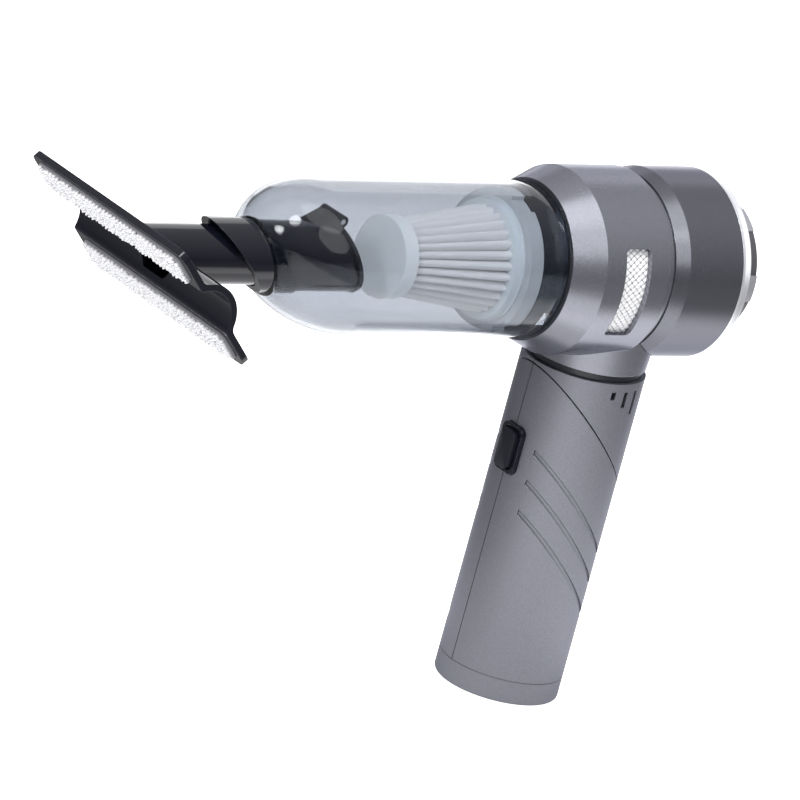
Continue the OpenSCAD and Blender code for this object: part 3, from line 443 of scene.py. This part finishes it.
def plain(name, low, high, roughness, size_mm, metallic=0.0):
    """A plain finish: two close tones in a fine noise, with slightly uneven gloss."""
    f = Finish(name, Metallic=metallic)
    spots = f.noise(size_mm, 2.0)
    f.set(Base_Color=f.mix(spots, low, high), Roughness=roughness + 0.08 * spots,
          Normal=f.soft_edges(0.2))
    return f.material


# Settings


class FinishSettings(PropertyGroup):
    """Colours of the finishes."""

    paint: FloatVectorProperty(
        name="Paint", description="Grey of the painted shells",
        subtype="COLOR", size=3, min=0, max=1, default=(0.262, 0.267, 0.302))
    paint_roughness: FloatProperty(
        name="Paint roughness", description="Roughness of the painted shells",
        subtype="FACTOR", min=0, max=1, default=0.22)
    black: FloatVectorProperty(
        name="Black", description="Black of the nozzle, tube and button",
        subtype="COLOR", size=3, min=0, max=1, default=(0.0046, 0.0052, 0.01))
    smoke: FloatVectorProperty(
        name="Smoke", description="Tint of the clear dust cup",
        subtype="COLOR", size=3, min=0, max=1, default=(0.525, 0.549, 0.584))


class PieceSettings(PropertyGroup):
    """Sizes of the pieces that the scene makes."""

    cup_sides: IntProperty(
        name="Cup sides", description="Steps round the dust cup", min=48, max=256, default=144)
    pleats: IntProperty(
        name="Pleats", description="Folds of the filter sheet", min=16, max=40, default=28)
    pleat_depth: FloatProperty(
        name="Pleat depth", description="Depth of a fold at the rear, in millimetres",
        min=1, max=5, default=3.2)
    knurls_along: IntProperty(
        name="Knurls along", description="Diamonds across a vent", min=3, max=9, default=4)
    knurls_round: IntProperty(
        name="Knurls round", description="Diamonds up a vent", min=8, max=24, default=13)
    pile_rows: IntProperty(
        name="Pile rows", description="Rows of tufts on a lint strip", min=30, max=80, default=42)
    pile_across: IntProperty(
        name="Tufts", description="Tufts in one row", min=5, max=24, default=15)


class StageSettings(PropertyGroup):
    """Camera, floor and light."""

    distance: FloatProperty(
        name="Camera distance", description="Distance of the camera from the body",
        unit="LENGTH", min=1, max=20, default=6.0)
    floor: FloatVectorProperty(
        name="Floor", description="Colour of the floor",
        subtype="COLOR", size=3, min=0, max=1, default=(0.93, 0.93, 0.93))
    floor_glow: FloatProperty(
        name="Floor glow", description="Light of the floor itself, as a lit table gives",
        min=0, max=10, default=1.05)
    horizon: FloatVectorProperty(
        name="Horizon", description="Light from the room at eye level",
        subtype="COLOR", size=3, min=0, max=4, default=(0.2, 0.2, 0.215))
    sky: FloatVectorProperty(
        name="Ceiling", description="Light from the room's ceiling",
        subtype="COLOR", size=3, min=0, max=4, default=(0.8, 0.8, 0.83))


# Operators


class BLOWER_OT_stage(Operator):
    """Camera at the photograph's angle, pale floor and soft studio light"""

    bl_idname = "blower.stage"
    bl_label = "Stage"

    def execute(self, context):
        scene, look = context.scene, context.scene.blower_stage
        scene.view_settings.view_transform = "Standard"
        self.camera(scene, look.distance)
        self.floor(scene, look)
        self.world(scene, look)
        for light in LIGHTS:
            self.light(scene, *light)
        return {"FINISHED"}

    def camera(self, scene, distance):
        """A long lens: the picture's axes come from the body's and handle's directions in the
        photograph, then a small turn settles them."""
        picture, sensor = 800.0, 36.0
        # Pixels to a millimetre at the body, and pixels from the picture's middle to the body's.
        scale, shift = 3.0512, np.array([211.8, -139.9])
        turn = np.array([-0.0054, -0.0343, -0.0062])
        tilt, drop, lean = math.radians(36.5), math.radians(15.45), 0.32
        right = np.array([math.cos(tilt), 0.009, math.sin(tilt)])
        right /= np.linalg.norm(right)
        down = np.array([-math.sin(drop) * math.cos(lean), math.cos(drop) * math.cos(lean),
                         math.sin(lean)])
        up = -(down - right * (right @ down))
        up /= np.linalg.norm(up)
        view = np.stack([right, np.cross(up, right), up], 1)
        angle = np.linalg.norm(turn)
        view = np.array(Matrix.Rotation(angle, 3, turn / angle)) @ view
        at = -view.T @ np.array([*(shift / scale * MM), distance])
        data = bpy.data.cameras.new("camera")
        data.sensor_width = sensor
        data.lens = scale / MM * distance / picture * sensor
        data.clip_end = 100.0
        obj = bpy.data.objects.new("camera", data)
        axes = np.eye(4)
        axes[:3, 0], axes[:3, 1], axes[:3, 2] = view[0], -view[1], -view[2]
        axes[:3, 3] = at + np.array([0, 0, AXIS_H * MM])
        obj.matrix_world = Matrix(axes.tolist())
        scene.collection.objects.link(obj)
        scene.camera = obj

    def floor(self, scene, look):
        """Glowing pale paper. In reflections it is bright only in a patch round the handle, dimmer
        towards the front, and darker round the handle's foot as a painted shadow. Matt surfaces get
        about half of its light."""
        left_end, right_end, front_end = (-0.2, -0.03), (0.16, 0.3), (0.1, 0.2)
        foot_x, foot_y, foot_r = -0.03, -0.03, (0.05, 0.1)
        patch_light, front_loss, foot_shadow, matt_loss, dark = 0.94, 0.24, 0.5, 0.45, 0.12
        view_cos, view_sin = 0.757, 0.654
        half = 6.0
        f = Finish("floor_paper", Roughness=0.9)
        cloud = f.noise(600.0, 2.0)
        x, y = f.axis(0), f.axis(1)
        right, near = view_cos * x - view_sin * y, -view_sin * x - view_cos * y
        dx, dy = x - foot_x, y - foot_y
        # Painted shadow: in reflections the paper is darker round the handle's foot.
        foot = 1 - (dx * dx + dy * dy).step(foot_r[0] ** 2, foot_r[1] ** 2)
        front = patch_light - front_loss * near.step(*front_end)
        sides = right.step(*left_end) * (1 - right.step(*right_end))
        bright = sides * front * (1 - foot_shadow * foot)
        mirrored = f.node("ShaderNodeLightPath", output="Is Glossy Ray")
        seen_through = f.node("ShaderNodeLightPath", output="Is Transmission Ray")
        spread = f.node("ShaderNodeLightPath", output="Is Diffuse Ray")
        paper = np.array(look.floor)
        dim = mirrored * (1 - seen_through) * (1 - bright) + matt_loss * spread
        seen = f.mix(dim, f.mix(cloud, paper * 0.98, paper), paper * dark)
        f.set(Base_Color=seen, Emission_Color=seen, Emission_Strength=look.floor_glow)
        mesh = bpy.data.meshes.new("floor")
        corners = [(-half, -half, 0), (half, -half, 0), (half, half, 0), (-half, half, 0)]
        mesh.from_pydata(corners, [], [(0, 1, 2, 3)])
        mesh.materials.append(f.material)
        obj = bpy.data.objects.new("floor", mesh)
        scene.collection.objects.link(obj)

    def world(self, scene, look):
        """A room that is dark at the horizon and lit from above: its light grows with the sine of
        the height."""
        scene.world = bpy.data.worlds.new("room")
        scene.world.use_nodes = True
        room = Nodes(scene.world.node_tree)
        way = room.node("ShaderNodeTexCoord", output="Generated")
        height = room.node("ShaderNodeSeparateXYZ", {}, {0: way}, output=2)
        light = room.mix(height, look.horizon, look.sky)
        room.join(room.tree.nodes["Background"].inputs["Color"], light)

    def light(self, scene, name, at, wide, high, radiance):
        """An oval soft box aimed at the body; its power is radiance times pi times its area."""
        data = bpy.data.lights.new(name, "AREA")
        data.shape, data.size, data.size_y = "ELLIPSE", wide, high
        data.energy = radiance * math.pi * math.pi / 4 * wide * high
        obj = bpy.data.objects.new(name, data)
        obj.visible_camera = False
        back = np.array(at) - LIGHT_AIM
        back /= np.linalg.norm(back)
        side = np.cross([0, 0, 1], back)
        side /= np.linalg.norm(side)
        axes = np.eye(4)
        axes[:3, 0], axes[:3, 1], axes[:3, 2] = side, np.cross(back, side), back
        axes[:3, 3] = at
        obj.matrix_world = Matrix(axes.tolist())
        scene.collection.objects.link(obj)


class BLOWER_OT_dust_cup(Operator):
    """Smoke-clear dust cup with its leaning rounded nose and bayonet lugs"""

    bl_idname = "blower.dust_cup"
    bl_label = "Dust cup"

    def execute(self, context):
        sides = context.scene.blower_pieces.cup_sides
        q = ring(sides)[None, :]
        outer = self.wall(CUP_R, NOSE_LEN, q)
        inner = self.wall(CUP_IN, NOSE_LEN - CUP_R + CUP_IN, q)[::-1]
        lip = round_body(X_RIM, np.array([[CUP_IN + RIM_EDGE], [CUP_R - RIM_EDGE]]), q)
        skin = np.concatenate([outer, inner, lip])
        shells = [(skin.reshape(-1, 3), [quads(len(skin), sides, wrap_rows=True)])]
        shells += [self.lug(middle) for middle in LUG_TURNS]
        piece("clear_cup", shells, clear_smoke(context.scene.blower_finish), "cup", ["dust_cup"],
              sharp=50)
        return {"FINISHED"}

    def wall(self, radius, length, q):
        """A cylinder up to a leaning plane, then a half ellipsoid: x falls by length sin t plus
        lean times height, and r is radius cos t."""
        straight_rows, nose_rows = 12, 40
        x_rear = X_RIM - RIM_EDGE
        t = np.linspace(0, math.acos(NOSE_HOLE / radius), nose_rows)[:, None]
        along = np.linspace(0, 1, straight_rows, endpoint=False)[:, None]
        height = -radius * np.cos(q)
        straight = x_rear + along * (X_NOSE - NOSE_LEAN * height - x_rear)
        nose = X_NOSE - length * np.sin(t) - NOSE_LEAN * height * np.cos(t)
        r = np.concatenate([np.full((straight_rows, 1), radius), radius * np.cos(t)])
        return round_body(np.concatenate([straight, nose]), r, q)

    def lug(self, middle):
        """A curved block under the cup's wall: a rectangle carried round the axis."""
        rows = 9
        a = np.radians(middle + np.linspace(-LUG_HALF_TURN, LUG_HALF_TURN, rows))[:, None]
        x = np.array([[LUG_FRONT, LUG_REAR, LUG_REAR, LUG_FRONT]])
        r = np.array([[LUG_IN, LUG_IN, LUG_OUT, LUG_OUT]])
        first = np.arange(4)
        ends = np.stack([first[::-1], first + (rows - 1) * 4])
        return round_body(x, r, a).reshape(-1, 3), [quads(rows, 4), ends]


class BLOWER_OT_filter(Operator):
    """Pleated filter sheet between its cap and flange"""

    bl_idname = "blower.filter"
    bl_label = "Filter"

    def execute(self, context):
        self.sheet(context.scene.blower_pieces)
        dress(milky("milky_cap", (0.97, 0.95, 0.935), (0.99, 0.975, 0.96)), "filter_cap")
        dress(milky("milky_flange", (0.76, 0.765, 0.78), (0.82, 0.825, 0.84)), "filter_frame")
        dress(plain("seal_rubber", (0.5, 0.53, 0.56), (0.58, 0.61, 0.64),
                    roughness=0.4, size_mm=2.0), "filter_gasket")
        return {"FINISHED"}

    def sheet(self, look):
        """A cone whose radius falls by the fold depth times 1 minus a crest, the 0.7th power of
        the cosine's size, with folds that are 0.55 as deep in front as at the rear."""
        steps, rows = 14, 10
        low, high = (np.array(v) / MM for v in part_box("filter_media"))
        rear_r = (high[1] - low[1]) / 2
        a = ring(look.pleats * steps)[None, :]
        t = np.linspace(0, 1, rows)[:, None]
        x = low[0] + t * (high[0] - low[0])
        crest = np.abs(np.cos(a * look.pleats / 2)) ** 0.7
        depth = look.pleat_depth * (0.55 + 0.45 * t)
        outer_r = FILTER_FRONT_R + t * (rear_r - FILTER_FRONT_R) - depth * (1 - crest)
        outer = round_body(x, outer_r, a)
        inner = round_body(x, outer_r - SHEET, a)[::-1]
        skin = np.concatenate([outer, inner])
        faces = quads(2 * rows, a.shape[1], wrap_rows=True)
        piece("pleated_sheet", [(skin.reshape(-1, 3), [faces])], fleece(), "housing",
              ["filter_media"], sharp=70)


class BLOWER_OT_vents(Operator):
    """Knurled silver panels behind the side vents"""

    bl_idname = "blower.vents"
    bl_label = "Side vents"

    def execute(self, context):
        material = knurl_silver()
        for name, middle in (("vent_mesh_left", -90), ("vent_mesh_right", 90)):
            self.panel(context.scene.blower_pieces, name, middle, material)
        return {"FINISHED"}

    def panel(self, look, name, middle, material):
        """A sector of the body wall; its height falls towards two sets of slanted grooves that
        cross, as a smooth step of the distance to the nearer groove."""
        cells, groove_half, flank = 10, 0.02, 0.13
        low, high = (np.array(v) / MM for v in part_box(name))
        u = np.linspace(0, 1, look.knurls_along * cells + 1)[None, :]
        v = np.linspace(0, 1, look.knurls_round * cells + 1)[:, None]
        x = low[0] + u * (high[0] - low[0])
        a = np.radians(middle - VENT_TURN / 2 + VENT_TURN * v)
        along = u * (look.knurls_along * VENT_LEN / VENT_OPEN_LEN)
        up = v * (look.knurls_round * VENT_TURN / VENT_OPEN_TURN)
        first, second = (along + up) % 1.0, (along - up) % 1.0
        near = np.minimum(0.5 - np.abs(first - 0.5), 0.5 - np.abs(second - 0.5))
        rise = np.clip((near - groove_half) / flank, 0, 1)
        rise = rise * rise * (3 - 2 * rise)
        top = round_body(x, VENT_GROOVE_R + KNURL_RISE * rise, a)
        under = round_body(x[:, [-1, 0]], VENT_UNDER_R, a)
        loop = np.concatenate([top, under], 1)
        rows, n = loop.shape[:2]
        ends = np.stack([np.arange(n)[::-1], np.arange(n) + (rows - 1) * n])
        obj = piece(name.replace("mesh", "knurl"), [(loop.reshape(-1, 3), [quads(rows, n), ends])],
                    material, "housing", [name], sharp=60)
        # How deep each point lies in a groove, which the finish paints as shade; the underside
        # counts as full groove.
        mark(obj, "groove", np.concatenate([1 - rise, np.ones((rows, 2))], 1))


class BLOWER_OT_lint_strips(Operator):
    """Two strips of short white pile on the nozzle's face"""

    bl_idname = "blower.lint_strips"
    bl_label = "Lint strips"

    def execute(self, context):
        material = lint_pile()
        for name, middle, seed in (("lint_strip_upper", -STRIP_AT, 3),
                                   ("lint_strip_lower", STRIP_AT, 8)):
            self.strip(context.scene.blower_pieces, name, middle, seed, material)
        return {"FINISHED"}

    def strip(self, look, name, middle, seed, material):
        """A backing and its tufts, whose points keep how near they are to the root."""
        back, back_faces = self.backing(middle)
        stalks, stalk_faces, root = self.tufts(look, middle, np.random.default_rng(seed))
        obj = piece(name.replace("strip", "pile"), [(back, back_faces), (stalks, stalk_faces)],
                    material, "nozzle_tool", [name], sharp=75)
        # The backing counts as root throughout, so its finish paints it with the shade of the pile.
        mark(obj, "root", np.concatenate([np.ones(len(back)), root]))

    def backing(self, middle):
        """A flat plate: a rectangle with round corners, swept through its thickness."""
        steps = 48
        turn = ring(steps)
        x = np.sign(np.cos(turn)) * (STRIP_HALF_H - STRIP_CORNER) + STRIP_CORNER * np.cos(turn)
        y = np.sign(np.sin(turn)) * (STRIP_HALF_W - STRIP_CORNER) + STRIP_CORNER * np.sin(turn)
        x = np.clip(x, -STRIP_HALF_H, STRIP_HALF_H)
        z = np.array([[STRIP_BACK], [STRIP_FRONT]])
        pts = on_head((x + middle)[None, :], y[None, :], z).reshape(-1, 3)
        lids = np.stack([np.arange(steps)[::-1], np.arange(steps) + steps])
        return pts, [quads(2, steps), lids]

    def tufts(self, look, middle, rng):
        """Rows of tufts, each a tapering five-sided stalk that bends with the square of its height,
        with its own place, lean, height, turn and two widths."""
        level = np.array([0.0, 0.45, 0.8, 1.0])
        width = np.array([1.0, 1.08, 0.85, 0.45])
        sides, margin = 5, 0.3
        rings = len(level)
        shape = (look.pile_rows, look.pile_across)
        y = self.spread(shape[0], STRIP_HALF_W)[:, None] + rng.normal(0, 0.06, shape)
        x = self.spread(shape[1], STRIP_HALF_H)[None, :] + rng.normal(0, 0.12, shape)
        x, y = x.ravel(), y.ravel()
        past_x = np.maximum(np.abs(x) - STRIP_HALF_H + STRIP_CORNER, 0)
        past_y = np.maximum(np.abs(y) - STRIP_HALF_W + STRIP_CORNER, 0)
        keep = np.hypot(past_x, past_y) < STRIP_CORNER - margin
        x, y = x[keep], y[keep]
        count = len(x)
        tall = rng.uniform(1.0, 1.45, count)
        lean_x, lean_y = rng.normal(0.1, 0.14, count), rng.normal(0.12, 0.06, count)
        spin = rng.uniform(0, 6.28, count)
        fat_x, fat_y = rng.uniform(0.36, 0.48, count), rng.uniform(0.55, 0.7, count)
        a = ring(sides) + spin[:, None, None]
        px = self.bend(x, lean_x, level) + (fat_x[:, None] * width)[:, :, None] * np.cos(a)
        py = self.bend(y, lean_y, level) + (fat_y[:, None] * width)[:, :, None] * np.sin(a)
        px = np.clip(px, -STRIP_HALF_H, STRIP_HALF_H)
        py = np.clip(py, -STRIP_HALF_W, STRIP_HALF_W)
        pz = PILE_FOOT - (tall[:, None] * level)[:, :, None]
        pts = on_head(px + middle, py, pz).reshape(-1, 3)
        start = np.arange(count)[:, None, None] * rings * sides
        foot = np.arange(sides)
        caps = np.stack([foot[::-1], foot + (rings - 1) * sides])
        faces = [(quads(rings, sides) + start).reshape(-1, 4), (caps + start).reshape(-1, sides)]
        root = np.broadcast_to((1 - level)[None, :, None] ** 1.5, (count, rings, sides)).ravel()
        return pts, faces, root

    def spread(self, count, half):
        """The middles of that many equal parts of a line from -half to half."""
        return (np.arange(count) + 0.5) / count * 2 * half - half

    def bend(self, start, lean, level):
        """The middle line of each stalk, moved by its lean times its level squared."""
        return start[:, None, None] + lean[:, None, None] * level[None, :, None] ** 2


class BLOWER_OT_shells(Operator):
    """Finishes of the body, handle, nozzle and other outside parts"""

    bl_idname = "blower.shells"
    bl_label = "Shells"

    def execute(self, context):
        look = context.scene.blower_finish
        dress(gunmetal(look, "gunmetal_paint"), "front_housing")
        # Painted shade: the rear shell and the handle take darker copies of the front's paint
        # (shade 0.6 and 0.88).
        dress(gunmetal(look, "gunmetal_paint_rear_shaded", shade=0.6), "rear_housing")
        dress(gunmetal(look, "gunmetal_paint_handle_shaded", shade=0.88, matt=0.2),
              "upper_handle", "handle_left_shell", "handle_right_shell", "bottom_cap")
        dress(black_gloss(look), "intake_tube", "nozzle", "button_frame", "flap_valve")
        dress(button_black(look), "power_button")
        dress(satin_dark(), "neck_ring", "outlet_grille")
        dress(collar_grey(), "outlet_cap")
        dress(bright_trim(), "trim_ring")
        return {"FINISHED"}


class BLOWER_OT_inner_works(Operator):
    """Finishes of the motor, fold joint, power pack and fasteners"""

    bl_idname = "blower.inner_works"
    bl_label = "Inner works"

    def execute(self, context):
        dress(plain("steel", (0.5, 0.5, 0.52), (0.62, 0.62, 0.64),
                    roughness=0.28, size_mm=0.8, metallic=1.0),
              "cap_screws", "motor_screws", "handle_screws", "flap_pin", "rotor_shaft",
              "impeller_nut", "pivot_clip", "pivot_washer", "motor_can", "charge_port")
        dress(plain("alloy", (0.55, 0.55, 0.57), (0.66, 0.66, 0.68),
                    roughness=0.38, size_mm=1.5, metallic=1.0), "impeller")
        dress(plain("moulded_dark", (0.03, 0.03, 0.033), (0.05, 0.05, 0.055),
                    roughness=0.5, size_mm=0.5),
              "motor_mount", "battery_carrier", "pivot_hub", "switch_body")
        dress(plain("brass", (0.6, 0.42, 0.16), (0.72, 0.52, 0.22),
                    roughness=0.3, size_mm=1.0, metallic=1.0), "pivot_bush")
        dress(plain("board_mask", (0.02, 0.11, 0.05), (0.03, 0.15, 0.07),
                    roughness=0.4, size_mm=2.0), "control_board", "switch_board")
        dress(plain("cell_sleeve", (0.05, 0.12, 0.3), (0.07, 0.15, 0.36),
                    roughness=0.35, size_mm=3.0), "battery_cells")
        return {"FINISHED"}


class BLOWER_PT_panel(Panel):
    """Lists the pieces and their settings"""

    bl_idname = "BLOWER_PT_panel"
    bl_label = "Vacuum blower"
    bl_space_type = "VIEW_3D"
    bl_region_type = "UI"
    bl_category = "Blower"

    def draw(self, context):
        for step in STEPS:
            self.layout.operator(step.bl_idname)
        for group in GROUPS:
            settings = getattr(context.scene, group)
            for key in settings.__annotations__:
                self.layout.prop(settings, key)


STEPS = (BLOWER_OT_stage, BLOWER_OT_shells, BLOWER_OT_inner_works, BLOWER_OT_dust_cup,
         BLOWER_OT_filter, BLOWER_OT_vents, BLOWER_OT_lint_strips)
GROUPS = {"blower_finish": FinishSettings, "blower_pieces": PieceSettings,
          "blower_stage": StageSettings}


def register():
    for cls in (*GROUPS.values(), *STEPS, BLOWER_PT_panel):
        bpy.utils.register_class(cls)
    for name, cls in GROUPS.items():
        setattr(bpy.types.Scene, name, PointerProperty(type=cls))


def unregister():
    for name in GROUPS:
        delattr(bpy.types.Scene, name)
    for cls in (BLOWER_PT_panel, *reversed(STEPS), *reversed(GROUPS.values())):
        bpy.utils.unregister_class(cls)


def main():
    """Registers the add-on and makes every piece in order."""
    register()
    for step in STEPS:
        group, name = step.bl_idname.split(".")
        getattr(getattr(bpy.ops, group), name)()


if __name__ == "__main__":
    main()
